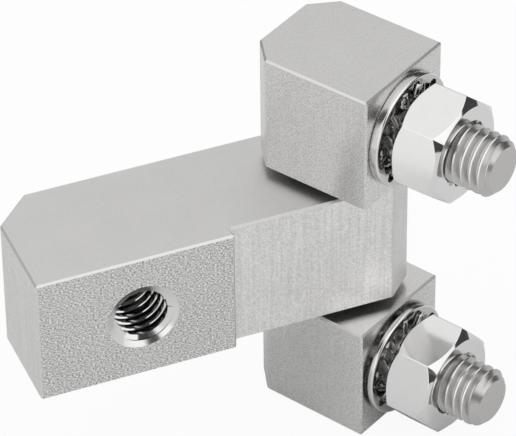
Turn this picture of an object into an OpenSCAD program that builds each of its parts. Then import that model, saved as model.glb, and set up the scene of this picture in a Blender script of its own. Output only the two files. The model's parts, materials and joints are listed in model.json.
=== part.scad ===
// Angle hinge: a long centre leaf between two short outer leaves that swing on one hidden pin.
// Each outer leaf carries a threaded stud with a toothed lock washer and a hexagon nut.
// Lengths are millimetres, angles are degrees, +Z is up along the hinge line.
// The origin is on the tapped hole's axis, level with the hinge line and at the leaf's mid height.

/* [Centre leaf] */
// Height of the centre leaf
leaf_h = 18; // [14:0.5:24]
// Hinge line to the far end of the leaf
leaf_reach = 43.5; // [40:0.5:60]
// Hinge line to the hinge end of the leaf
leaf_end = 8; // [7:0.25:10]
// Hinge line to the back face
leaf_back = 8; // [7:0.25:10]
// Hinge line to the recessed part of the front face
leaf_front = 8.5; // [7:0.25:10]
// Height of the mounting pad over the recessed part
pad_step = 1.5; // [0.75:0.25:3]
// Hinge line to the edge of the mounting pad
pad_x = 17.5; // [14:0.25:20]
// Bevel on the two corners at the hinge end
leaf_bevel = 3.5; // [2:0.1:5]
// Bevel on the far back corner
far_bevel = 4.9; // [2:0.1:7]
// Broken edges of all three leaves
edge = 0.25; // [0.1:0.05:0.5]

/* [Tapped hole] */
// Hinge line to the tapped hole
hole_x = 29.75; // [26:0.25:34]
// Core diameter of the thread
hole_d = 6.8; // [5:0.1:8.5]
// Depth of the full core
hole_depth = 13; // [8:0.5:14]
// Width of the countersink around the core
mouth_w = 1.25; // [0.4:0.05:1.5]
// Full angle of the countersink
mouth_angle = 120; // [90:5:130]
// Full angle of the drill point at the bottom
drill_angle = 118; // [100:2:140]

/* [Outer leaves] */
// Width of an outer leaf
outer_w = 16; // [14:0.5:22]
// Height of an outer leaf
outer_h = 16.5; // [15.5:0.5:22]
// Hinge line to the end face that takes the stud
outer_reach = 10.5; // [9:0.25:14]
// Hinge line to the hinge end
outer_end = 8; // [7:0.25:10]
// Bevel on the two corners at the hinge end
outer_bevel = 3.2; // [2:0.1:5]
// Swing of the upper leaf from the straight position
upper_swing = 59; // [0:0.5:90]
// Swing of the lower leaf from the straight position
lower_swing = 60.5; // [0:0.5:90]

/* [Hinge pin] */
// Diameter of the pin
pin_d = 6; // [4:0.5:7]
// Reach of the pin into each outer leaf
pin_in = 10; // [8:0.5:12]
// Bevel on the pin's ends
pin_tip = 0.5; // [0.2:0.1:1]
// Room left beyond the pin's ends
pin_room = 1; // [0.5:0.25:2]

/* [Bushes] */
// Wall of the bush
bush_wall = 1; // [0.75:0.25:1.5]
// Diameter of the bush's flange
flange_d = 12; // [10:0.5:14]
// Thickness of the bush's flange
flange_t = 0.95; // [0.5:0.05:1.5]
// Running clearance around the pin
run_clear = 0.03; // [0.01:0.01:0.1]
// End play between a flange and the centre leaf
end_play = 0.05; // [0.02:0.01:0.2]

/* [Studs] */
// Diameter over the thread
stud_d = 7.9; // [5.8:0.1:9]
// Length of the stud outside its leaf
stud_out = 14.75; // [12:0.25:25]
// Bevel on the stud's free end
stud_tip = 1; // [0.5:0.1:1.5]
// Wall left between the stud and the bush
stud_wall = 0.5; // [0.4:0.1:1.5]

/* [Lock washers] */
// Diameter of the rim
washer_d = 15; // [14:0.25:16]
// Thickness of the sheet
washer_t = 0.8; // [0.5:0.1:1.2]
// Width of the plain rim
rim_w = 1.3; // [1:0.1:2]
// Clearance between the tooth tips and the stud
tooth_clear = 0.25; // [0.1:0.05:0.5]
// Number of teeth
teeth = 10; // [8:1:12]
// Width of a tooth
tooth_w = 1.9; // [1.4:0.1:2.2]
// Twist of each tooth out of the sheet
tooth_twist = 33; // [15:1:45]
// Length of a tooth's root in the rim
tooth_root = 0.3; // [0.2:0.05:0.6]
// Diameter of the round notch between two teeth
notch_d = 1.5; // [0.8:0.1:1.6]
// Eased edges of the rim
rim_ease = 0.3; // [0.05:0.05:0.35]
// Turn of the upper washer on its stud
upper_washer_turn = 20.5; // [0:0.5:45]
// Turn of the lower washer on its stud
lower_washer_turn = 9; // [0:0.5:45]

/* [Nuts] */
// Width across the flats
nut_af = 13; // [12:0.5:14]
// Height of the nut
nut_h = 6.7; // [4:0.1:8]
// Free run between the lock washer and the nut
nut_run = 0.8; // [0:0.1:3]
// Width of the bevel on a face, measured at the middle of a flat
nut_bevel = 0.3; // [0.1:0.05:0.6]
// Slope of the bevel on the corners
nut_slope = 40; // [20:1:45]
// Clearance between the nut and the thread's crests
nut_clear = 0.05; // [0.02:0.01:0.15]
// Width of the countersink at each end of the thread
nut_mouth = 0.35; // [0.2:0.05:0.6]
// Turn of the upper nut on its stud
upper_nut_turn = 18.5; // [0:0.5:60]
// Turn of the lower nut on its stud
lower_nut_turn = 11.5; // [0:0.5:60]

/* [Hidden] */
$fn = 96;
// How far a cutting tool stands past the face that it cuts
over = 1;
steel = [0.78, 0.78, 0.77];
bright = [0.86, 0.86, 0.85];
polymer = [0.16, 0.16, 0.17];

knuckle_gap = flange_t + end_play;
outer_z = leaf_h / 2 + knuckle_gap;
pin_r = pin_d / 2;
bush_bore_r = pin_r + run_clear;
bush_r = bush_bore_r + bush_wall;
bush_bore_depth = pin_in + pin_room;
stud_r = stud_d / 2;
stud_in = outer_reach - bush_r - stud_wall;
pad_y = leaf_front + pad_step;
hole_r = hole_d / 2;
mouth_depth = mouth_w / tan(mouth_angle / 2);
drill_tip = hole_r / tan(drill_angle / 2);
rim_r = washer_d / 2;
rim_in_r = rim_r - rim_w;
tooth_in_r = stud_r + tooth_clear;
tooth_pitch = 360 / teeth;
// A twisted tooth stands out of the sheet by the same amount on both sides
tooth_span = tooth_w * sin(tooth_twist) + washer_t * cos(tooth_twist);
rim_lift = (tooth_span - washer_t) / 2;
nut_seat = tooth_span + nut_run;
nut_corner_r = nut_af / 2 / cos(30);
nut_face_r = nut_af / 2 - nut_bevel;
nut_bore_r = stud_r + nut_clear;

// Outline of the centre leaf, seen from above, with the hinge line at zero
leaf_outline = [
  [-leaf_reach, -pad_y],
  [-pad_x, -pad_y],
  [-pad_x, -leaf_front],
  [leaf_end - leaf_bevel, -leaf_front],
  [leaf_end, leaf_bevel - leaf_front],
  [leaf_end, leaf_back - leaf_bevel],
  [leaf_end - leaf_bevel, leaf_back],
  [far_bevel - leaf_reach, leaf_back],
  [-leaf_reach, leaf_back - far_bevel]
];

// Outline of an outer leaf, with the stud pointing along +X
outer_outline = [
  [outer_reach, -outer_w / 2],
  [outer_reach, outer_w / 2],
  [outer_bevel - outer_end, outer_w / 2],
  [-outer_end, outer_w / 2 - outer_bevel],
  [-outer_end, outer_bevel - outer_w / 2],
  [outer_bevel - outer_end, -outer_w / 2]
];

function unit(v) = v / norm(v);
function following(p, i) = p[(i + 1) % len(p)];
function previous(p, i) = p[(i + len(p) - 1) % len(p)];
function turn_at(p, i) = cross(p[i] - previous(p, i), following(p, i) - p[i]);
// A cut runs past an outer corner, and stops at an inner one
function run_out(p, i) = turn_at(p, i) > 0 ? 2 * edge : 0;

// Takes the sharp edge off all the way round an outline at one level
module edge_cuts(p, z) {
  side = edge * sqrt(2);
  for (i = [0 : len(p) - 1]) {
    d = following(p, i) - p[i];
    before = run_out(p, i);
    after = run_out(p, (i + 1) % len(p));
    translate([p[i][0], p[i][1], z])
      rotate([0, 0, atan2(d[1], d[0])])
        translate([(norm(d) + after - before) / 2, 0, 0])
          rotate([45, 0, 0])
            cube([norm(d) + before + after, side, side], center = true);
  }
}

// Takes the sharp edge off each upright outer corner
module corner_cuts(p, h) {
  for (i = [0 : len(p) - 1]) {
    u = unit(previous(p, i) - p[i]);
    v = unit(following(p, i) - p[i]);
    inward = u + v;
    depth = edge * norm(inward) / 2;
    if (turn_at(p, i) > 0)
      translate([p[i][0], p[i][1], h / 2])
        rotate([0, 0, atan2(inward[1], inward[0])])
          cube([2 * depth, 4 * edge, h + 2 * over], center = true);
  }
}

// Upright block with broken edges
module eased_block(p, h) {
  difference() {
    linear_extrude(h) polygon(p);
    edge_cuts(p, 0);
    edge_cuts(p, h);
    corner_cuts(p, h);
  }
}

// Puts a piece on the hinge line
module at_hinge() {
  translate([hole_x, 0, 0]) children();
}

// Puts a piece on an outer leaf: inner face at zero, stud along +X
module on_upper() {
  at_hinge() rotate([0, 0, -upper_swing]) translate([0, 0, outer_z]) children();
}

module on_lower() {
  at_hinge() rotate([0, 0, -lower_swing]) mirror([0, 0, 1]) translate([0, 0, outer_z]) children();
}

// Puts a piece on a stud: +Z outwards along the stud, end face of the leaf at zero
module on_upper_stud() {
  on_upper() translate([outer_reach, 0, outer_h / 2]) rotate([90, 0, 90]) children();
}

module on_lower_stud() {
  at_hinge() rotate([0, 0, -lower_swing]) translate([outer_reach, 0, -outer_z - outer_h / 2])
    rotate([90, 0, 90]) children();
}

// Blind tapped hole with its countersink and drill point, mouth at zero
module tapped_hole_tool() {
  rotate_extrude()
    polygon([
      [0, -over],
      [hole_r + mouth_w, -over],
      [hole_r + mouth_w, 0],
      [hole_r, mouth_depth],
      [hole_r, hole_depth],
      [0, hole_depth + drill_tip]
    ]);
}

module outer_leaf() {
  difference() {
    eased_block(outer_outline, outer_h);
    translate([0, 0, -over]) cylinder(r = bush_r, h = bush_bore_depth + over);
    translate([outer_reach - stud_in, 0, outer_h / 2])
      rotate([90, 0, 90]) cylinder(r = stud_r, h = stud_in + over);
  }
}

module bush() {
  rotate_extrude()
    polygon([
      [bush_bore_r, -flange_t],
      [flange_d / 2, -flange_t],
      [flange_d / 2, 0],
      [bush_r, 0],
      [bush_r, pin_in],
      [bush_bore_r, pin_in]
    ]);
}

module stud() {
  rotate_extrude()
    polygon([
      [0, -stud_in],
      [stud_r, -stud_in],
      [stud_r, stud_out - stud_tip],
      [stud_r - stud_tip, stud_out],
      [0, stud_out]
    ]);
}

// Plain rim of the lock washer, with a round notch between each two teeth
module washer_rim() {
  difference() {
    rotate_extrude()
      polygon([
        [rim_in_r, 0],
        [rim_r - rim_ease, 0],
        [rim_r, rim_ease],
        [rim_r, washer_t - rim_ease],
        [rim_r - rim_ease, washer_t],
        [rim_in_r, washer_t]
      ]);
    for (i = [0 : teeth - 1])
      rotate((i + 0.5) * tooth_pitch)
        translate([rim_in_r, 0, -over]) cylinder(d = notch_d, h = washer_t + 2 * over);
  }
}

// Teeth of the lock washer, each twisted about its own length
module washer_teeth() {
  root_r = rim_in_r + tooth_root;
  intersection() {
    difference() {
      translate([0, 0, -tooth_span]) cylinder(r = root_r, h = 3 * tooth_span);
      translate([0, 0, -2 * tooth_span]) cylinder(r = tooth_in_r, h = 5 * tooth_span);
    }
    union() {
      for (i = [0 : teeth - 1])
        rotate(i * tooth_pitch)
          translate([root_r / 2, 0, washer_t / 2])
            rotate([tooth_twist, 0, 0])
              cube([root_r + 2 * over, tooth_w, washer_t], center = true);
    }
  }
}

module lock_washer(turn) {
  rotate(turn) translate([0, 0, rim_lift]) {
    washer_rim();
    washer_teeth();
  }
}

// Solid of revolution that bevels the corners of the nut at both ends
module nut_bevels() {
  wide_r = nut_corner_r + over;
  drop = (wide_r - nut_face_r) * tan(nut_slope);
  rotate_extrude()
    polygon([
      [0, 0],
      [nut_face_r, 0],
      [wide_r, drop],
      [wide_r, nut_h - drop],
      [nut_face_r, nut_h],
      [0, nut_h]
    ]);
}

// Thread bore of the nut with a countersink at both ends
module nut_bore_tool() {
  rotate_extrude()
    polygon([
      [0, -over],
      [nut_bore_r + nut_mouth, -over],
      [nut_bore_r + nut_mouth, 0],
      [nut_bore_r, nut_mouth],
      [nut_bore_r, nut_h - nut_mouth],
      [nut_bore_r + nut_mouth, nut_h],
      [nut_bore_r + nut_mouth, nut_h + over],
      [0, nut_h + over]
    ]);
}

module nut(turn) {
  translate([0, 0, nut_seat])
    rotate(turn)
      difference() {
        intersection() {
          cylinder(r = nut_corner_r, h = nut_h, $fn = 6);
          nut_bevels();
        }
        nut_bore_tool();
      }
}

module centre_leaf() {
  color(steel)
    at_hinge()
      difference() {
        translate([0, 0, -leaf_h / 2]) eased_block(leaf_outline, leaf_h);
        translate([0, 0, -leaf_h / 2 - over]) cylinder(r = pin_r, h = leaf_h + 2 * over);
        translate([-hole_x, -pad_y, 0]) rotate([-90, 0, 0]) tapped_hole_tool();
      }
}

module upper_leaf() {
  color(steel) on_upper() outer_leaf();
}

module lower_leaf() {
  color(steel) on_lower() outer_leaf();
}

module hinge_pin() {
  half = outer_z + pin_in;
  color(bright)
    at_hinge()
      rotate_extrude()
        polygon([
          [0, -half],
          [pin_r - pin_tip, -half],
          [pin_r, pin_tip - half],
          [pin_r, half - pin_tip],
          [pin_r - pin_tip, half],
          [0, half]
        ]);
}

module upper_bush() {
  color(polymer) on_upper() bush();
}

module lower_bush() {
  color(polymer) on_lower() bush();
}

module upper_stud() {
  color(steel) on_upper_stud() stud();
}

module lower_stud() {
  color(steel) on_lower_stud() stud();
}

module upper_lock_washer() {
  color(bright) on_upper_stud() lock_washer(upper_washer_turn);
}

module lower_lock_washer() {
  color(bright) on_lower_stud() lock_washer(lower_washer_turn);
}

module upper_nut() {
  color(bright) on_upper_stud() nut(upper_nut_turn);
}

module lower_nut() {
  color(bright) on_lower_stud() nut(lower_nut_turn);
}

centre_leaf();
upper_leaf();
lower_leaf();
hinge_pin();
upper_bush();
lower_bush();
upper_stud();
lower_stud();
upper_lock_washer();
lower_lock_washer();
upper_nut();
lower_nut();
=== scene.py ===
import bpy
import bmesh
import json
import math
from mathutils import Matrix, Vector


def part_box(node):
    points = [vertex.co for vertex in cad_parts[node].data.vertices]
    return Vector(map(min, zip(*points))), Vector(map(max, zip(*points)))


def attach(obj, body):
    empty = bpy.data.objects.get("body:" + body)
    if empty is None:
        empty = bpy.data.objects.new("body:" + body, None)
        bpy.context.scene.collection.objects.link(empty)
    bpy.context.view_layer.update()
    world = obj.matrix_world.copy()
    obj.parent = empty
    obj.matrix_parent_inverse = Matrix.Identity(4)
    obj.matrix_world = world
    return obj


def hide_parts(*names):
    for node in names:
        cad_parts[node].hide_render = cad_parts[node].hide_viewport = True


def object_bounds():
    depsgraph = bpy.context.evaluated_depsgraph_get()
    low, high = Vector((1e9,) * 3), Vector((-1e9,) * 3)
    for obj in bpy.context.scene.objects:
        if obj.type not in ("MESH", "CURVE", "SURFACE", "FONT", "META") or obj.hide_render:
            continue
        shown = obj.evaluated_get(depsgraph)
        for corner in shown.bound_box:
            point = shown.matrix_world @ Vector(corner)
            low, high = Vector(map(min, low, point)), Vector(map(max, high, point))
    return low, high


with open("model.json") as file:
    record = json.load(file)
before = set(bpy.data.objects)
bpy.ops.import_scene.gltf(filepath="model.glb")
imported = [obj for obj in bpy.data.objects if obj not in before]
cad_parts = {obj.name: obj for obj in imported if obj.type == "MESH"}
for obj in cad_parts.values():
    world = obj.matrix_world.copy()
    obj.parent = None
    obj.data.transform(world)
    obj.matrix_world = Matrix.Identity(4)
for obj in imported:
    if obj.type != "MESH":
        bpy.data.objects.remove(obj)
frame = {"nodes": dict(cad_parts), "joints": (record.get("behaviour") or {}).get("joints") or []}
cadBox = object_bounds()
mm = 0.001
print("frame loaded:", len(frame["nodes"]), "pieces")

# where the studs are, read from the joints
jointAt = {j["name"]: j for j in frame["joints"]}


def studFrame(side):
    joint = jointAt[side + "_nut_turn"]
    out = Vector(joint["axis"]).normalized()  # along the stud, away from the leaf
    up = Vector((0, 0, 1))
    across = up.cross(out)
    spot = Vector(joint["pos_m"])  # on the leaf's end face
    turned = Matrix((across, up, out)).transposed().to_4x4()
    return Matrix.Translation(spot) @ turned


def insideStud(node, side):
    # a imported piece's corners as seen from its stud
    spot = studFrame(side).inverted()
    return [spot @ v.co for v in frame["nodes"][node].data.vertices]


def ringRadius(p):
    return math.hypot(p.x, p.y)


# mesh helpers

def meshObject(name, mesh):
    piece = bpy.data.objects.new(name, mesh)
    bpy.context.scene.collection.objects.link(piece)
    return piece


def applied(piece):
    # bakes the modifiers into the mesh
    graph = bpy.context.evaluated_depsgraph_get()
    final = bpy.data.meshes.new_from_object(piece.evaluated_get(graph))
    piece.modifiers.clear()
    piece.data = final
    return piece


def booled(piece, tool, operation):
    step = piece.modifiers.new("cut", "BOOLEAN")
    step.object = tool
    step.operation = operation
    step.solver = "EXACT"
    applied(piece)
    bpy.data.objects.remove(tool)
    return piece


def smoothShaded(piece, angle):
    piece.data.shade_smooth()
    piece.data.set_sharp_from_angle(angle=math.radians(angle))
    return piece


def grown(name, bm):
    # a piece from a finished bmesh
    bmesh.ops.recalc_face_normals(bm, faces=bm.faces)
    mesh = bpy.data.meshes.new(name)
    bm.to_mesh(mesh)
    bm.free()
    return meshObject(name, mesh)


def revolved(name, profile, segments):
    # closed body of revolution about local Z, profile runs from axis to axis
    bm = bmesh.new()
    rings = []
    for radius, height in profile:
        if radius == 0:
            rings.append([bm.verts.new((0, 0, height))])
            continue
        turn = [2 * math.pi * i / segments for i in range(segments)]
        rings.append([bm.verts.new((radius * math.cos(a), radius * math.sin(a), height)) for a in turn])
    for low, high in zip(rings, rings[1:]):
        for i in range(segments):
            j = (i + 1) % segments
            if len(low) == 1:
                bm.faces.new((low[0], high[j], high[i]))
            elif len(high) == 1:
                bm.faces.new((low[i], low[j], high[0]))
            else:
                bm.faces.new((low[i], low[j], high[j], high[i]))
    return grown(name, bm)


def threadRod(name, spec, lag, low, high):
    # right-hand screw thread along local Z: a grid that follows the helix, cut flat at both ends
    pitch, around = spec["pitch"], spec["segments"]
    crest, root = spec["crestRadius"], spec["rootRadius"]
    crestHalf, rootHalf = spec["crestFlat"] / 2, spec["rootFlat"] / 2
    shape = [(-crestHalf, crest), (crestHalf, crest), (0.5 - rootHalf, root), (0.5 + rootHalf, root)]
    spare = 3  # turns that are cut off again
    turns = math.ceil((high - low) / pitch) + spare
    start = low - (spare / 2 + lag) * pitch
    bm = bmesh.new()
    grid = []
    for i in range(around):
        angle = 2 * math.pi * i / around
        column = []
        for turn in range(turns):
            for along, radius in shape:
                height = start + pitch * (turn + along + i / around)
                column.append(bm.verts.new((radius * math.cos(angle), radius * math.sin(angle), height)))
        grid.append(column)
    for i in range(around):
        last = i == around - 1
        shift = len(shape) if last else 0  # one turn on, the helix is one pitch higher
        right = grid[0] if last else grid[i + 1]
        for k in range(turns * len(shape) - 1):
            if k - shift < 0:
                continue
            bm.faces.new((grid[i][k], right[k - shift], right[k + 1 - shift], grid[i][k + 1]))
    loose = [v for v in bm.verts if not v.link_faces]
    bmesh.ops.delete(bm, geom=loose, context="VERTS")
    for height, side in ((low, -1), (high, 1)):
        everything = bm.verts[:] + bm.edges[:] + bm.faces[:]
        bmesh.ops.bisect_plane(bm, geom=everything, plane_co=(0, 0, height), plane_no=(0, 0, side),
                               clear_outer=True)
    rims = [e for e in bm.edges if e.is_boundary]
    bmesh.ops.holes_fill(bm, edges=rims, sides=0)
    return grown(name, bm)


def copied(node, name):
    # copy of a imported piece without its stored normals
    mesh = frame["nodes"][node].data.copy()
    stored = mesh.attributes.get("custom_normal")
    if stored:
        mesh.attributes.remove(stored)
    return meshObject(name, mesh)


mending = {"gap": 1e-7, "flat": math.radians(0.5)}  # corners this close and faces this level are joined


def joinedFlats(piece):
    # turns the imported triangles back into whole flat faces
    bm = bmesh.new()
    bm.from_mesh(piece.data)
    bmesh.ops.remove_doubles(bm, verts=bm.verts, dist=mending["gap"])
    bmesh.ops.dissolve_limit(bm, angle_limit=mending["flat"], verts=bm.verts, edges=bm.edges)
    bm.to_mesh(piece.data)
    bm.free()
    return piece


def rounded(corners, steps):
    # closed outline whose corners (x, y, radius) become arcs
    outline = []
    for before, corner, after in zip(corners[-1:] + corners[:-1], corners, corners[1:] + corners[:1]):
        spot, radius = Vector(corner[:2]), corner[2]
        if radius == 0:
            outline.append(spot)
            continue
        back = (Vector(before[:2]) - spot).normalized()
        ahead = (Vector(after[:2]) - spot).normalized()
        half = back.angle(ahead) / 2
        middle = spot + (back + ahead).normalized() * (radius / math.sin(half))
        first = spot + back * (radius / math.tan(half)) - middle
        last = spot + ahead * (radius / math.tan(half)) - middle
        sweep = first.angle(last)
        for k in range(steps + 1):
            near, far = math.sin((1 - k / steps) * sweep), math.sin(k / steps * sweep)
            outline.append(middle + (first * near + last * far) / math.sin(sweep))
    return outline


def lofted(bm, loops, around):
    # skin over closed loops, joined end to end or capped
    rings = [[bm.verts.new(p) for p in loop] for loop in loops]
    pairs = list(zip(rings, rings[1:]))
    if around:
        pairs.append((rings[-1], rings[0]))
    else:
        bm.faces.new(rings[0])
        bm.faces.new(rings[-1])
    for low, high in pairs:
        for i in range(len(low)):
            j = (i + 1) % len(low)
            bm.faces.new((low[i], low[j], high[j], high[i]))


def evened(piece, angle):
    # smooth shading that leaves large faces flat
    smoothShaded(piece, angle)
    step = piece.modifiers.new("even", "WEIGHTED_NORMAL")
    step.keep_sharp = True
    return applied(piece)


def painted(piece, finishes, choose):
    # gives each face one of the finishes
    piece.data.materials.clear()
    for finish in finishes:
        piece.data.materials.append(finish)
    for face in piece.data.polygons:
        face.material_index = choose(face)
    return piece


def narrow(piece, face, limit):
    # true for the thin strips along broken edges
    corners = [piece.data.vertices[i].co for i in face.vertices]
    longest = max((a - b).length for a, b in zip(corners, corners[1:] + corners[:1]))
    return face.area < limit * longest


def handedOver(piece, body, node):
    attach(piece, body)
    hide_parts(node)
    return piece


# shader node groups

def newGroup(name, inputs, outputs):
    group = bpy.data.node_groups.new(name, "ShaderNodeTree")
    for label, kind, value in inputs:
        socket = group.interface.new_socket(label, in_out="INPUT", socket_type=kind)
        if value is not None:
            socket.default_value = value
    for label, kind in outputs:
        group.interface.new_socket(label, in_out="OUTPUT", socket_type=kind)
    return group, group.nodes.new("NodeGroupInput"), group.nodes.new("NodeGroupOutput")


def plugged(tree, node, links):
    # links an output socket into an input, or sets the input to a number
    for target, source in links:
        if hasattr(source, "is_output"):
            tree.links.new(source, node.inputs[target])
        else:
            node.inputs[target].default_value = source
    return node


def put(tree, kind, links=(), **settings):
    node = tree.nodes.new(kind)
    for key, value in settings.items():
        setattr(node, key, value)
    return plugged(tree, node, links)


def placed(tree, group, links=()):
    node = tree.nodes.new("ShaderNodeGroup")
    node.node_tree = group
    return plugged(tree, node, links)


grainRoughness = 0.55
levelFrom, levelTo = 0.6, 0.8  # upward share of the normal where a face begins to count as level


def makeGrainGroup():
    # even or stretched grain, centred on zero
    floatKind, vectorKind = "NodeSocketFloat", "NodeSocketVector"
    group, given, result = newGroup(
        "machinedGrain",
        [("Place", vectorKind, None), ("Stretch", vectorKind, (1, 1, 1)), ("Scale", floatKind, 1000.0),
         ("Detail", floatKind, 2.0)],
        [("Grain", floatKind)])
    stretched = put(group, "ShaderNodeVectorMath", operation="MULTIPLY",
                    links=[(0, given.outputs["Place"]), (1, given.outputs["Stretch"])])
    noise = put(group, "ShaderNodeTexNoise",
                links=[("Vector", stretched.outputs[0]), ("Scale", given.outputs["Scale"]),
                       ("Detail", given.outputs["Detail"]), ("Roughness", grainRoughness)])
    centred = put(group, "ShaderNodeMath", operation="SUBTRACT", links=[(0, noise.outputs["Fac"]), (1, 0.5)])
    group.links.new(centred.outputs[0], result.inputs["Grain"])
    return group


def makeFacingGroup():
    # one on faces that look up or down, zero on upright ones
    group, given, result = newGroup(
        "facing", [("Normal", "NodeSocketVector", None)], [("Level", "NodeSocketFloat")])
    parts = put(group, "ShaderNodeSeparateXYZ", links=[(0, given.outputs["Normal"])])
    size = put(group, "ShaderNodeMath", operation="ABSOLUTE", links=[(0, parts.outputs["Z"])])
    level = put(group, "ShaderNodeMapRange",
                links=[("Value", size.outputs[0]), ("From Min", levelFrom), ("From Max", levelTo)])
    group.links.new(level.outputs["Result"], result.inputs["Level"])
    return group


def makeTurnedGroup():
    # rings that a lathe leaves round local Z, centred on zero
    group, given, result = newGroup(
        "turnedRings", [("Place", "NodeSocketVector", None), ("Scale", "NodeSocketFloat", 9000.0)],
        [("Rings", "NodeSocketFloat")])
    parts = put(group, "ShaderNodeSeparateXYZ", links=[(0, given.outputs["Place"])])
    flat = put(group, "ShaderNodeCombineXYZ", links=[("X", parts.outputs["X"]), ("Y", parts.outputs["Y"])])
    radius = put(group, "ShaderNodeVectorMath", operation="LENGTH", links=[(0, flat.outputs[0])])
    along = put(group, "ShaderNodeMath", operation="SUBTRACT",
                links=[(0, parts.outputs["Z"]), (1, radius.outputs["Value"])])
    noise = put(group, "ShaderNodeTexNoise", noise_dimensions="1D",
                links=[("W", along.outputs[0]), ("Scale", given.outputs["Scale"]), ("Detail", 1.0)])
    centred = put(group, "ShaderNodeMath", operation="SUBTRACT", links=[(0, noise.outputs["Fac"]), (1, 0.5)])
    group.links.new(centred.outputs[0], result.inputs["Rings"])
    return group


grainGroup = makeGrainGroup()
facingGroup = makeFacingGroup()
turnedGroup = makeTurnedGroup()


def newMaterial(name):
    material = bpy.data.materials.new(name)
    material.use_nodes = True
    tree = material.node_tree
    shader = tree.nodes["Principled BSDF"]
    place = tree.nodes.new("ShaderNodeTexCoord")
    return material, tree, shader, place


def tinted(tree, colour, amount):
    # scales a colour by one plus a signed value
    gain = put(tree, "ShaderNodeMath", operation="ADD", links=[(0, amount), (1, 1.0)])
    scaled = put(tree, "ShaderNodeVectorMath", operation="SCALE",
                 links=[(0, colour), ("Scale", gain.outputs[0])])
    return scaled.outputs[0]


def weighted(tree, pairs):
    # sum of values times weights
    total = None
    for value, weight in pairs:
        term = put(tree, "ShaderNodeMath", operation="MULTIPLY", links=[(0, value), (1, weight)])
        if total is None:
            total = term.outputs[0]
            continue
        added = put(tree, "ShaderNodeMath", operation="ADD", links=[(0, total), (1, term.outputs[0])])
        total = added.outputs[0]
    return total


# ground and milled faces of the three leaves

leafSteel = {
    "colour": (0.7, 0.695, 0.686), "roughness": 0.37,
    "stretch": (0.8, 1.0, 1.0), "speckle": 0.6, "speckleScale": 5600.0, "brush": 0.3,
    "clouds": 0.08, "bump": 0.05,
}
recessSteel = {
    "colour": (0.79, 0.785, 0.776), "roughness": 0.34,
    "stretch": (0.8, 1.0, 1.0), "speckle": 0.7, "speckleScale": 5600.0, "brush": 0.35,
    "clouds": 0.1, "bump": 0.05,
}
padSteel = {
    "colour": (0.66, 0.655, 0.646), "roughness": 0.46,
    "stretch": (0.5, 1.0, 1.0), "speckle": 3.3, "speckleScale": 7200.0, "brush": 0.0,
    "clouds": 0.12, "bump": 0.08,
}
outerSteel = {
    "colour": (0.7, 0.694, 0.686), "roughness": 0.27,
    "stretch": (0.8, 0.8, 1.0), "speckle": 1.1, "speckleScale": 7600.0, "brush": 0.15,
    "clouds": 0.1, "bump": 0.008,
}
milled = {
    "brushScale": 3600.0,
    "brushStretch": (1.0, 1.0, 0.03),
    "cloudScale": 150.0,
    "calmLevel": 0.25,  # share of the grain left on level faces
    "grainRough": 0.12,
    "bumpDepth": 0.03 * mm,
}


def makeMilledSteel(name, look):
    material, tree, shader, place = newMaterial(name)
    spot = place.outputs["Object"]
    facing = placed(tree, facingGroup, [("Normal", place.outputs["Normal"])])
    speckles = placed(tree, grainGroup, [("Place", spot), ("Stretch", look["stretch"]),
                                         ("Scale", look["speckleScale"]), ("Detail", 1.0)])
    lines = placed(tree, grainGroup, [("Place", spot), ("Stretch", milled["brushStretch"]),
                                      ("Scale", milled["brushScale"]), ("Detail", 2.0)])
    clouds = placed(tree, grainGroup, [("Place", spot), ("Scale", milled["cloudScale"]), ("Detail", 2.0)])
    grain = weighted(tree, [(speckles.outputs["Grain"], look["speckle"]),
                            (lines.outputs["Grain"], look["brush"])])
    calm = put(tree, "ShaderNodeMapRange", links=[("Value", facing.outputs["Level"]), ("To Min", 1.0),
                                                  ("To Max", milled["calmLevel"])])
    shown = put(tree, "ShaderNodeMath", operation="MULTIPLY", links=[(0, grain), (1, calm.outputs["Result"])])
    shade = weighted(tree, [(shown.outputs[0], 1.0), (clouds.outputs["Grain"], look["clouds"])])
    tree.links.new(tinted(tree, look["colour"], shade), shader.inputs["Base Color"])
    rough = put(tree, "ShaderNodeMath", operation="MULTIPLY_ADD",
                links=[(0, shown.outputs[0]), (1, milled["grainRough"]), (2, look["roughness"])])
    tree.links.new(rough.outputs[0], shader.inputs["Roughness"])
    bump = put(tree, "ShaderNodeBump", links=[("Height", shown.outputs[0]), ("Strength", look["bump"]),
                                             ("Distance", milled["bumpDepth"])])
    tree.links.new(bump.outputs["Normal"], shader.inputs["Normal"])
    shader.inputs["Metallic"].default_value = 1.0
    return material


# plain bright metal: nuts, washers, thread and broken edges

nutSteel = {"colour": (0.78, 0.778, 0.774), "roughness": 0.08}
# brighter colour for the washer's rolled rim edge, a painted highlight
rimHighlightSteel = {"colour": (0.8, 0.795, 0.79), "roughness": 0.2}
# darker colour for the washer's teeth and the rest of it, painted shade
washerShadeSteel = {"colour": (0.6, 0.595, 0.59), "roughness": 0.1}
# brighter colour for the thread's crests, a painted highlight
crestHighlightSteel = {"colour": (0.86, 0.855, 0.85), "roughness": 0.26}
threadSteel = {"colour": (0.76, 0.755, 0.75), "roughness": 0.08}
mouthSteel = {"colour": (0.76, 0.755, 0.75), "roughness": 0.17}
# dark colour for the blind hole's bottom, painted shade
holeFloorShadeSteel = {"colour": (0.3, 0.296, 0.29), "roughness": 0.5}
# colour for the broken edges, darker than the faces to dim their highlight lines, painted shade
dimmedEdgeSteel = {"colour": (0.65, 0.646, 0.64), "roughness": 0.3}
# darker colour for the upward edges further back, painted shade
darkEdgeShadeSteel = {"colour": (0.57, 0.566, 0.56), "roughness": 0.4}
pinSteel = {"colour": (0.66, 0.658, 0.65), "roughness": 0.2}
smears = {"scale": 700.0, "detail": 3.0, "tint": 0.06, "rough": 0.06}


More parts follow.
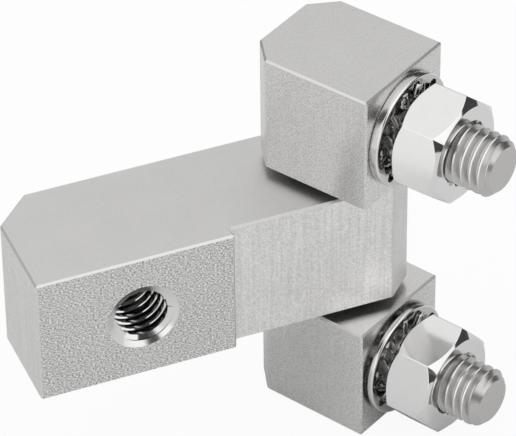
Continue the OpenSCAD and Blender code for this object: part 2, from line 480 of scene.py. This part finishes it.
def makeBrightSteel(name, look):
    material, tree, shader, place = newMaterial(name)
    smear = placed(tree, grainGroup, [("Place", place.outputs["Object"]), ("Scale", smears["scale"]),
                                      ("Detail", smears["detail"])])
    shade = weighted(tree, [(smear.outputs["Grain"], smears["tint"])])
    tree.links.new(tinted(tree, look["colour"], shade), shader.inputs["Base Color"])
    rough = put(tree, "ShaderNodeMath", operation="MULTIPLY_ADD",
                links=[(0, smear.outputs["Grain"]), (1, smears["rough"]), (2, look["roughness"])])
    tree.links.new(rough.outputs[0], shader.inputs["Roughness"])
    shader.inputs["Metallic"].default_value = 1.0
    return material


studSteel = {
    "colour": (0.56, 0.552, 0.543), "roughness": 0.3,
    "ringScale": 9000.0, "ringTint": 0.5, "bump": 0.2, "bumpDepth": 0.02 * mm,
}


def makeStudSteel():
    look = studSteel
    material, tree, shader, place = newMaterial("studSteel")
    rings = placed(tree, turnedGroup, [("Place", place.outputs["Object"]), ("Scale", look["ringScale"])])
    shade = weighted(tree, [(rings.outputs["Rings"], look["ringTint"])])
    tree.links.new(tinted(tree, look["colour"], shade), shader.inputs["Base Color"])
    bump = put(tree, "ShaderNodeBump", links=[("Height", rings.outputs["Rings"]), ("Strength", look["bump"]),
                                             ("Distance", look["bumpDepth"])])
    tree.links.new(bump.outputs["Normal"], shader.inputs["Normal"])
    shader.inputs["Roughness"].default_value = look["roughness"]
    shader.inputs["Metallic"].default_value = 1.0
    return material


bushPolymer = {
    "colour": (0.02, 0.02, 0.022), "roughness": 0.6,
    "grainScale": 3000.0, "tint": 0.4, "rough": 0.2,
}


def makeBushPolymer():
    look = bushPolymer
    material, tree, shader, place = newMaterial("bushPolymer")
    grain = placed(tree, grainGroup, [("Place", place.outputs["Object"]), ("Scale", look["grainScale"])])
    shade = weighted(tree, [(grain.outputs["Grain"], look["tint"])])
    tree.links.new(tinted(tree, look["colour"], shade), shader.inputs["Base Color"])
    rough = put(tree, "ShaderNodeMath", operation="MULTIPLY_ADD",
                links=[(0, grain.outputs["Grain"]), (1, look["rough"]), (2, look["roughness"])])
    tree.links.new(rough.outputs[0], shader.inputs["Roughness"])
    return material


leafFinish = makeMilledSteel("leafSteel", leafSteel)
recessFinish = makeMilledSteel("recessSteel", recessSteel)
padFinish = makeMilledSteel("padSteel", padSteel)
outerFinish = makeMilledSteel("outerSteel", outerSteel)
nutFinish = makeBrightSteel("nutSteel", nutSteel)
rimHighlightFinish = makeBrightSteel("rimHighlightSteel", rimHighlightSteel)
washerShadeFinish = makeBrightSteel("washerShadeSteel", washerShadeSteel)
crestHighlightFinish = makeBrightSteel("crestHighlightSteel", crestHighlightSteel)
threadFinish = makeBrightSteel("threadSteel", threadSteel)
mouthFinish = makeBrightSteel("mouthSteel", mouthSteel)
holeFloorShadeFinish = makeBrightSteel("holeFloorShadeSteel", holeFloorShadeSteel)
dimmedEdgeFinish = makeBrightSteel("dimmedEdgeSteel", dimmedEdgeSteel)
darkEdgeShadeFinish = makeBrightSteel("darkEdgeShadeSteel", darkEdgeShadeSteel)
pinFinish = makeBrightSteel("pinSteel", pinSteel)
studFinish = makeStudSteel()
bushFinish = makeBushPolymer()
print("materials made")


def finished(piece, material):
    piece.data.materials.clear()
    piece.data.materials.append(material)


# pieces

studThread = {
    "pitch": 1.25 * mm,
    "segments": 96,
    "crestRadius": 3.95 * mm,
    "rootRadius": 3.32 * mm,
    "crestFlat": 0.16,  # share of the pitch
    "rootFlat": 0.14,
    "lag": {"upper": 0.27, "lower": 0.0},  # share of a turn by which the thread starts late
    "tip": 1.0 * mm,
    "smooth": 30,  # degrees between faces that still shade as one
    "highlightBand": 0.01 * mm,  # depth of the band on the crests painted brighter, a painted highlight
}
upright = 0.3  # largest upward share of the normal on a face that counts as upright


def makeStud(side):
    node = side + "_stud"
    spec = studThread
    spot = studFrame(side)
    heights = [p.z for p in insideStud(node, side)]
    low, high = min(heights), max(heights)
    stud = threadRod(side + "ThreadedStud", spec, spec["lag"][side], low, high + spec["pitch"])
    crest, tip = spec["crestRadius"], spec["tip"]
    outline = [(0, low), (crest + spec["pitch"], low), (crest + spec["pitch"], high - tip - spec["pitch"]),
               (crest - tip, high), (0, high)]
    booled(stud, revolved("studLimit", outline, spec["segments"]), "INTERSECT")
    smoothShaded(stud, spec["smooth"])

    def choose(part):
        highlit = ringRadius(part.center) > crest - spec["highlightBand"] and abs(part.normal.z) < upright
        return 1 if highlit else 0  # the crests get a brighter colour, a painted highlight

    painted(stud, [studFinish, crestHighlightFinish], choose)
    stud.matrix_world = spot
    return handedOver(stud, side + "_leaf", node)


holeThread = {
    "pitch": 1.25 * mm,
    "segments": 96,
    "crestRadius": 4.11 * mm,  # the tool's crest is the thread's root
    "rootRadius": 3.43 * mm,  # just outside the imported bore, so that the lands come out smooth
    "crestFlat": 0.12,
    "rootFlat": 0.35,
    "lag": -0.47,
    "depth": 12.4 * mm,
    "outside": 1.0 * mm,
    "mouthRadius": 4.67 * mm,
    "mouthDepth": 0.722 * mm,
    "coreRadius": 3.42 * mm,
}
leafShape = {
    "edge": 0.6 * mm,  # strips narrower than this are broken edges
    "smooth": 25,
    "ahead": 0.99,  # forward share of the normal on the pad and the recess
    "padSkin": 0.05 * mm,  # faces this close to the pad's face belong to it
    "recessReach": 3 * mm,
    "frontReach": 1 * mm,  # upward edge strips further back than this get a darker colour, painted shade
    "mouthMargin": 0.1 * mm,
    "holeReach": 20 * mm,
    "coneTilt": (0.8, 0.95),  # forward share of the normal on the hole's mouth
    "floorSkin": 0.01 * mm,
}


def makeTappedLeaf():
    spec, shape = holeThread, leafShape
    leaf = joinedFlats(copied("centre_leaf", "tappedLeaf"))
    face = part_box("centre_leaf")[0].y  # the pad's face
    spot = Matrix.Translation((0, face, 0)) @ Matrix.Rotation(-math.pi / 2, 4, "X")
    wide, core = spec["mouthRadius"], spec["coreRadius"]
    mouth = revolved("mouthTool", [(0, -spec["outside"]), (wide, -spec["outside"]), (wide, 0),
                                   (core, spec["mouthDepth"]), (0, spec["mouthDepth"])], spec["segments"])
    tap = threadRod("tapTool", spec, spec["lag"], -spec["outside"], spec["depth"])
    for tool in (mouth, tap):
        tool.data.transform(spot)
        booled(leaf, tool, "DIFFERENCE")
    evened(leaf, shape["smooth"])

    finishes = {"leaf": leafFinish, "pad": padFinish, "recess": recessFinish, "mouth": mouthFinish,
                "thread": threadFinish, "holeFloorShade": holeFloorShadeFinish, "edge": dimmedEdgeFinish,
                "darkEdgeShade": darkEdgeShadeFinish}
    order = list(finishes)

    def choose(part):
        depth = part.center.y - face
        ahead = -part.normal.y > shape["ahead"]
        if depth < shape["padSkin"] and ahead:
            return order.index("pad")
        fromAxis = math.hypot(part.center.x, part.center.z)
        if fromAxis < wide + shape["mouthMargin"] and depth < shape["holeReach"]:
            least, most = shape["coneTilt"]
            conical = depth < spec["mouthDepth"] and least < -part.normal.y < most
            deep = depth > spec["depth"] - shape["floorSkin"]
            # the hole's bottom gets the dark colour, painted shade
            return order.index("mouth" if conical else "holeFloorShade" if deep else "thread")
        if ahead and depth < shape["recessReach"]:
            return order.index("recess")
        if not narrow(leaf, part, shape["edge"]) or abs(part.normal.z) < upright:
            return order.index("leaf")
        # edge strips get the dimmed edge colour, painted shade; upward ones further back a darker one,
        # painted shade too
        return order.index("darkEdgeShade" if part.normal.z > 0 and depth > shape["frontReach"] else "edge")

    painted(leaf, list(finishes.values()), choose)
    return handedOver(leaf, "centre", "centre_leaf")


def makeOuterLeaf(side):
    leaf = joinedFlats(copied(side + "_leaf", side + "Block"))
    smoothShaded(leaf, leafShape["smooth"])

    def choose(part):
        # level edge strips get the dimmed edge colour, painted shade
        return 1 if narrow(leaf, part, leafShape["edge"]) and abs(part.normal.z) > upright else 0

    painted(leaf, [outerFinish, dimmedEdgeFinish], choose)
    return handedOver(leaf, side + "_leaf", side + "_leaf")


nutShape = {
    "corner": 0.2 * mm,  # rounding of the six long edges
    "brow": 0.14 * mm,  # and where the flats meet the bevels
    "faceRadius": 6.2 * mm,
    "slope": math.tan(math.radians(40)),
    "bore": 4.0 * mm,
    "mouth": 0.35 * mm,
    "flatSteps": 16,
    "roundSteps": 4,
    "smooth": 30,
}


def makeNut(side):
    shape = nutShape
    points = insideStud(side + "_nut", side)
    low, high = min(p.z for p in points), max(p.z for p in points)
    tip = max(points, key=ringRadius)
    flat = ringRadius(tip) * math.cos(math.pi / 6)
    start = math.atan2(tip.y, tip.x)
    soft, face, bore, mouth = shape["corner"], shape["faceRadius"], shape["bore"], shape["mouth"]
    reach = (flat - soft) / math.cos(math.pi / 6)  # to the middle of a corner's arc
    edge = math.atan2(soft / 2, reach + soft * math.cos(math.pi / 6))
    stations = [edge * (2 * k / shape["roundSteps"] - 1) for k in range(shape["roundSteps"] + 1)]
    span = math.pi / 3 - 2 * edge
    stations += [edge + span * k / shape["flatSteps"] for k in range(1, shape["flatSteps"])]
    loops = []
    for corner in range(6):
        for off in stations:
            wall = flat / math.cos(off - math.pi / 6)
            if off <= edge:
                wall = reach * math.cos(off) + math.sqrt(soft ** 2 - (reach * math.sin(off)) ** 2)
            drop = (wall - face) * shape["slope"]
            profile = rounded([
                (bore, low + mouth, 0), (bore + mouth, low, 0), (face, low, soft / 3),
                (wall, low + drop, shape["brow"]), (wall, high - drop, shape["brow"]),
                (face, high, soft / 3), (bore + mouth, high, 0), (bore, high - mouth, 0),
            ], shape["roundSteps"])
            angle = start + corner * math.pi / 3 + off
            loops.append([(r * math.cos(angle), r * math.sin(angle), z) for r, z in profile])
    bm = bmesh.new()
    lofted(bm, loops, True)
    nut = evened(grown(side + "HexNut", bm), shape["smooth"])
    finished(nut, nutFinish)
    nut.matrix_world = studFrame(side)
    return handedOver(nut, side + "_nut", side + "_nut")


washerShape = {
    "teeth": 10,
    "rimInner": 6.2 * mm,
    "notch": 0.75 * mm,
    "edge": 0.26 * mm,  # rounding of the rim
    "toothWidth": 1.9 * mm,
    "toothRoot": 6.5 * mm,
    "toothTip": 4.2 * mm,
    "toothEdge": 0.24 * mm,
    "twist": math.radians(33),
    "rootTwist": math.radians(16),
    "roundSteps": 5,
    "notchSteps": 12,
    "rimSteps": 8,
    "toothSteps": 9,
    "smooth": 60,
    "rimBand": 1 * mm,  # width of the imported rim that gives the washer's thickness
    "tipBand": 0.01 * mm,
    "notchFit": 0.995,
    "twistPace": 2.5,  # the twist is full at one part in this of the tooth's length
    "tipShrink": 0.88,
    "rolled": (0.3, 0.95),  # outward share of the normal on the rim's rolled edge
}


def eased(x):
    x = min(max(x, 0), 1)
    return x * x * (3 - 2 * x)


def makeWasher(side):
    shape = washerShape
    points = insideStud(side + "_lock_washer", side)
    rim = max(ringRadius(p) for p in points)
    rimPoints = [p.z for p in points if ringRadius(p) > rim - shape["rimBand"]]
    low, high = min(rimPoints), max(rimPoints)
    pitch = 2 * math.pi / shape["teeth"]
    tips = [math.atan2(p.y, p.x) for p in points if ringRadius(p) < shape["toothTip"] + shape["tipBand"]]
    start = math.atan2(sum(math.sin(a * shape["teeth"]) for a in tips),
                       sum(math.cos(a * shape["teeth"]) for a in tips)) / shape["teeth"]
    bm = bmesh.new()

    inner, notch, soft = shape["rimInner"], shape["notch"], shape["edge"]
    gap = math.asin(notch / inner) * shape["notchFit"]
    stations = [gap * (2 * k / shape["notchSteps"] - 1) for k in range(shape["notchSteps"] + 1)]
    stations += [gap + (pitch - 2 * gap) * k / shape["rimSteps"] for k in range(1, shape["rimSteps"])]
    loops = []
    for tooth in range(shape["teeth"]):
        for off in stations:
            bore = inner
            if off <= gap:
                bore = inner * math.cos(off) + math.sqrt(notch ** 2 - (inner * math.sin(off)) ** 2)
            profile = rounded([(bore, low, soft / 4), (rim, low, soft), (rim, high, soft),
                               (bore, high, soft / 4)], shape["roundSteps"])
            angle = start + (tooth + 0.5) * pitch + off
            loops.append([(r * math.cos(angle), r * math.sin(angle), z) for r, z in profile])
    lofted(bm, loops, True)

    wide, thick, ease = shape["toothWidth"] / 2, (high - low) / 2, shape["toothEdge"]
    bar = rounded([(-wide, -thick, ease), (wide, -thick, ease), (wide, thick, ease), (-wide, thick, ease)],
                  shape["roundSteps"])
    length = shape["toothRoot"] - shape["toothTip"]
    for tooth in range(shape["teeth"]):
        angle = start + tooth * pitch
        loops = []
        for k in range(shape["toothSteps"] + 1):
            share = k / shape["toothSteps"]
            turned = eased(share * shape["twistPace"])
            twist = shape["rootTwist"] + (shape["twist"] - shape["rootTwist"]) * turned
            shrink = 1 if k < shape["toothSteps"] else shape["tipShrink"]
            r = shape["toothRoot"] - length * share
            loop = []
            for x, y in bar:
                flank, up = x * shrink, y * shrink
                across = flank * math.cos(twist) - up * math.sin(twist)
                out = flank * math.sin(twist) + up * math.cos(twist) + (low + high) / 2
                loop.append((r * math.cos(angle) - across * math.sin(angle),
                             r * math.sin(angle) + across * math.cos(angle), out))
            loops.append(loop)
        lofted(bm, loops, False)
    washer = smoothShaded(grown(side + "ToothWasher", bm), shape["smooth"])

    def choose(part):
        least, most = shape["rolled"]
        rolled = least < part.normal.z < most and ringRadius(part.center) > rim - soft
        return 0 if rolled else 1  # the rim's rolled front edge gets a brighter colour, a painted highlight; the rest of the washer a darker one, painted shade

    painted(washer, [rimHighlightFinish, washerShadeFinish], choose)
    washer.matrix_world = studFrame(side)
    return handedOver(washer, side + "_washer", side + "_lock_washer")


makeTappedLeaf()
for side in ("upper", "lower"):
    makeOuterLeaf(side)
    makeStud(side)
    makeWasher(side)
    makeNut(side)
    finished(frame["nodes"][side + "_bush"], bushFinish)
finished(frame["nodes"]["hinge_pin"], pinFinish)
print("pieces made")

# floor, light and camera

studio = {
    "floorX": (-0.11, 3.0),
    "floorY": (-3.0, 3.0),
    "floorGap": 0.02 * mm,  # the part stands this far above it
    "floorAlbedo": 0.79,
    "floorWhite": 0.93,  # share of plain white that the camera sees
    "floorShine": 0.05,  # and that metal shows
    "shade": 0.06,  # the dark room behind the lights
    "sideways": (0.95, 0.3, 0.0),
    "dark": 0.14,  # how far up the dark reaches all round
    "darkRight": 0.38, "rightFrom": 0.55, "rightTo": 0.75,  # further up on the right
    "darkLeft": -0.7, "leftFrom": -0.6, "leftTo": -0.85,  # and not at all on the left
    "forward": (0.2, -0.98, 0.0),
    "darkFront": -0.26, "frontFrom": 0.45, "frontTo": 0.7,  # nor in front
    "soft": 0.06,
    "slitLeft": -0.18, "slitLeftLean": -1.5, "slitBend": 0.25,  # the tent is open in front,
    "slitRight": 0.44, "slitRightLean": -0.8, "slitSoft": 0.03,  # where the camera looks in
    "slitFrom": 0.3, "slitTo": 0.45,
    "tent": 0.86,
    "tentLean": (-0.1, -0.34, 0.36),  # brighter to the left, in front and above
    "ground": 1.0, "groundSoft": 0.02,  # white past the floor's edge
}


def makeFloor():
    height = cadBox[0].z - studio["floorGap"]
    (left, right), (front, back) = studio["floorX"], studio["floorY"]
    mesh = bpy.data.meshes.new("floor")
    corners = [(left, front), (right, front), (right, back), (left, back)]
    mesh.from_pydata([(x, y, height) for x, y in corners], [], [(0, 1, 2, 3)])
    floor = meshObject("floor", mesh)
    material = bpy.data.materials.new("floorPaper")
    material.use_nodes = True
    tree = material.node_tree
    tree.nodes.clear()
    out = tree.nodes.new("ShaderNodeOutputMaterial")
    albedo = studio["floorAlbedo"]
    paper = put(tree, "ShaderNodeBsdfDiffuse", links=[("Color", (albedo, albedo, albedo, 1))])
    glow = put(tree, "ShaderNodeEmission", links=[("Color", (1, 1, 1, 1)), ("Strength", 1.0)])
    path = tree.nodes.new("ShaderNodeLightPath")
    share = weighted(tree, [(path.outputs["Is Camera Ray"], studio["floorWhite"]),
                            (path.outputs["Is Glossy Ray"], studio["floorShine"]),
                            (path.outputs["Is Transmission Ray"], studio["floorShine"])])
    mixed = put(tree, "ShaderNodeMixShader", links=[(0, share), (1, paper.outputs[0]), (2, glow.outputs[0])])
    tree.links.new(mixed.outputs[0], out.inputs["Surface"])
    mesh.materials.append(material)


def makeWorld():
    world = bpy.data.worlds.new("softTent")
    bpy.context.scene.world = world
    world.use_nodes = True
    tree = world.node_tree
    tree.nodes.clear()
    out = tree.nodes.new("ShaderNodeOutputWorld")
    way = tree.nodes.new("ShaderNodeTexCoord").outputs["Generated"]
    parts = put(tree, "ShaderNodeSeparateXYZ", links=[(0, way)])
    across, height = parts.outputs["X"], parts.outputs["Z"]

    def towards(direction):
        return put(tree, "ShaderNodeVectorMath", operation="DOT_PRODUCT",
                   links=[(0, way), (1, direction)]).outputs["Value"]

    def sums(operation, first, second):
        return put(tree, "ShaderNodeMath", operation=operation, links=[(0, first), (1, second)]).outputs[0]

    def ramp(value, start, end, low, high):
        return put(tree, "ShaderNodeMapRange", interpolation_type="SMOOTHSTEP",
                   links=[("Value", value), ("From Min", start), ("From Max", end), ("To Min", low),
                          ("To Max", high)]).outputs["Result"]

    side = towards(studio["sideways"])
    ahead = towards(studio["forward"])
    right = ramp(side, studio["rightFrom"], studio["rightTo"],
                 studio["dark"], studio["dark"] + studio["darkRight"])
    left = ramp(side, studio["leftFrom"], studio["leftTo"], 0.0, studio["darkLeft"])
    front = ramp(ahead, studio["frontFrom"], studio["frontTo"], 0.0, studio["darkFront"])
    above = sums("SUBTRACT", height, sums("ADD", sums("ADD", right, left), front))
    bright = sums("ADD", towards(studio["tentLean"]), studio["tent"])
    lit = ramp(above, -studio["soft"], studio["soft"], studio["shade"], bright)
    soft = studio["slitSoft"]
    bent = sums("MAXIMUM", sums("SUBTRACT", height, studio["slitBend"]), 0.0)
    leftEdge = sums("ADD", sums("MULTIPLY", bent, studio["slitLeftLean"]), studio["slitLeft"])
    rightEdge = sums("ADD", sums("MULTIPLY", height, studio["slitRightLean"]), studio["slitRight"])
    beside = sums("MAXIMUM", ramp(sums("SUBTRACT", leftEdge, across), -soft, soft, 0.0, 1.0),
                  ramp(sums("SUBTRACT", across, rightEdge), -soft, soft, 0.0, 1.0))
    behind = ramp(ahead, studio["slitFrom"], studio["slitTo"], 1.0, 0.0)
    level = ramp(sums("MAXIMUM", beside, behind), 0.0, 1.0, studio["shade"], lit)
    ground = ramp(height, -studio["groundSoft"], 0.0, studio["ground"], 0.0)
    tent = put(tree, "ShaderNodeBackground",
               links=[("Color", (1, 1, 1, 1)), ("Strength", sums("MAXIMUM", level, ground))])
    tree.links.new(tent.outputs[0], out.inputs["Surface"])


photoView = {
    "azimuth": 21.753,
    "elevation": 38.011,
    "roll": 0.722,
    "distance": 499.1 * mm,
    "aim": (19.288 * mm, 0, 2.374 * mm),
    "lens": 276.34,
    "sensor": 36.0,
    "clipStart": 0.01,
}


def makeCamera():
    az, el, roll = (math.radians(photoView[k]) for k in ("azimuth", "elevation", "roll"))
    ahead = Vector((math.sin(az) * math.cos(el), math.cos(az) * math.cos(el), -math.sin(el)))
    level = ahead.cross(Vector((0, 0, 1))).normalized()
    upright = level.cross(ahead)
    up = upright * math.cos(roll) + level * math.sin(roll)
    right = ahead.cross(up)
    data = bpy.data.cameras.new("photoCamera")
    data.sensor_fit = "HORIZONTAL"
    data.sensor_width = photoView["sensor"]
    data.lens = photoView["lens"]
    data.clip_start = photoView["clipStart"]
    camera = bpy.data.objects.new("photoCamera", data)
    bpy.context.scene.collection.objects.link(camera)
    spot = Vector(photoView["aim"]) - ahead * photoView["distance"]
    camera.matrix_world = Matrix.Translation(spot) @ Matrix((right, up, -ahead)).transposed().to_4x4()
    bpy.context.scene.camera = camera


makeFloor()
makeWorld()
makeCamera()
bpy.context.scene.view_settings.view_transform = "Standard"
print("studio ready")
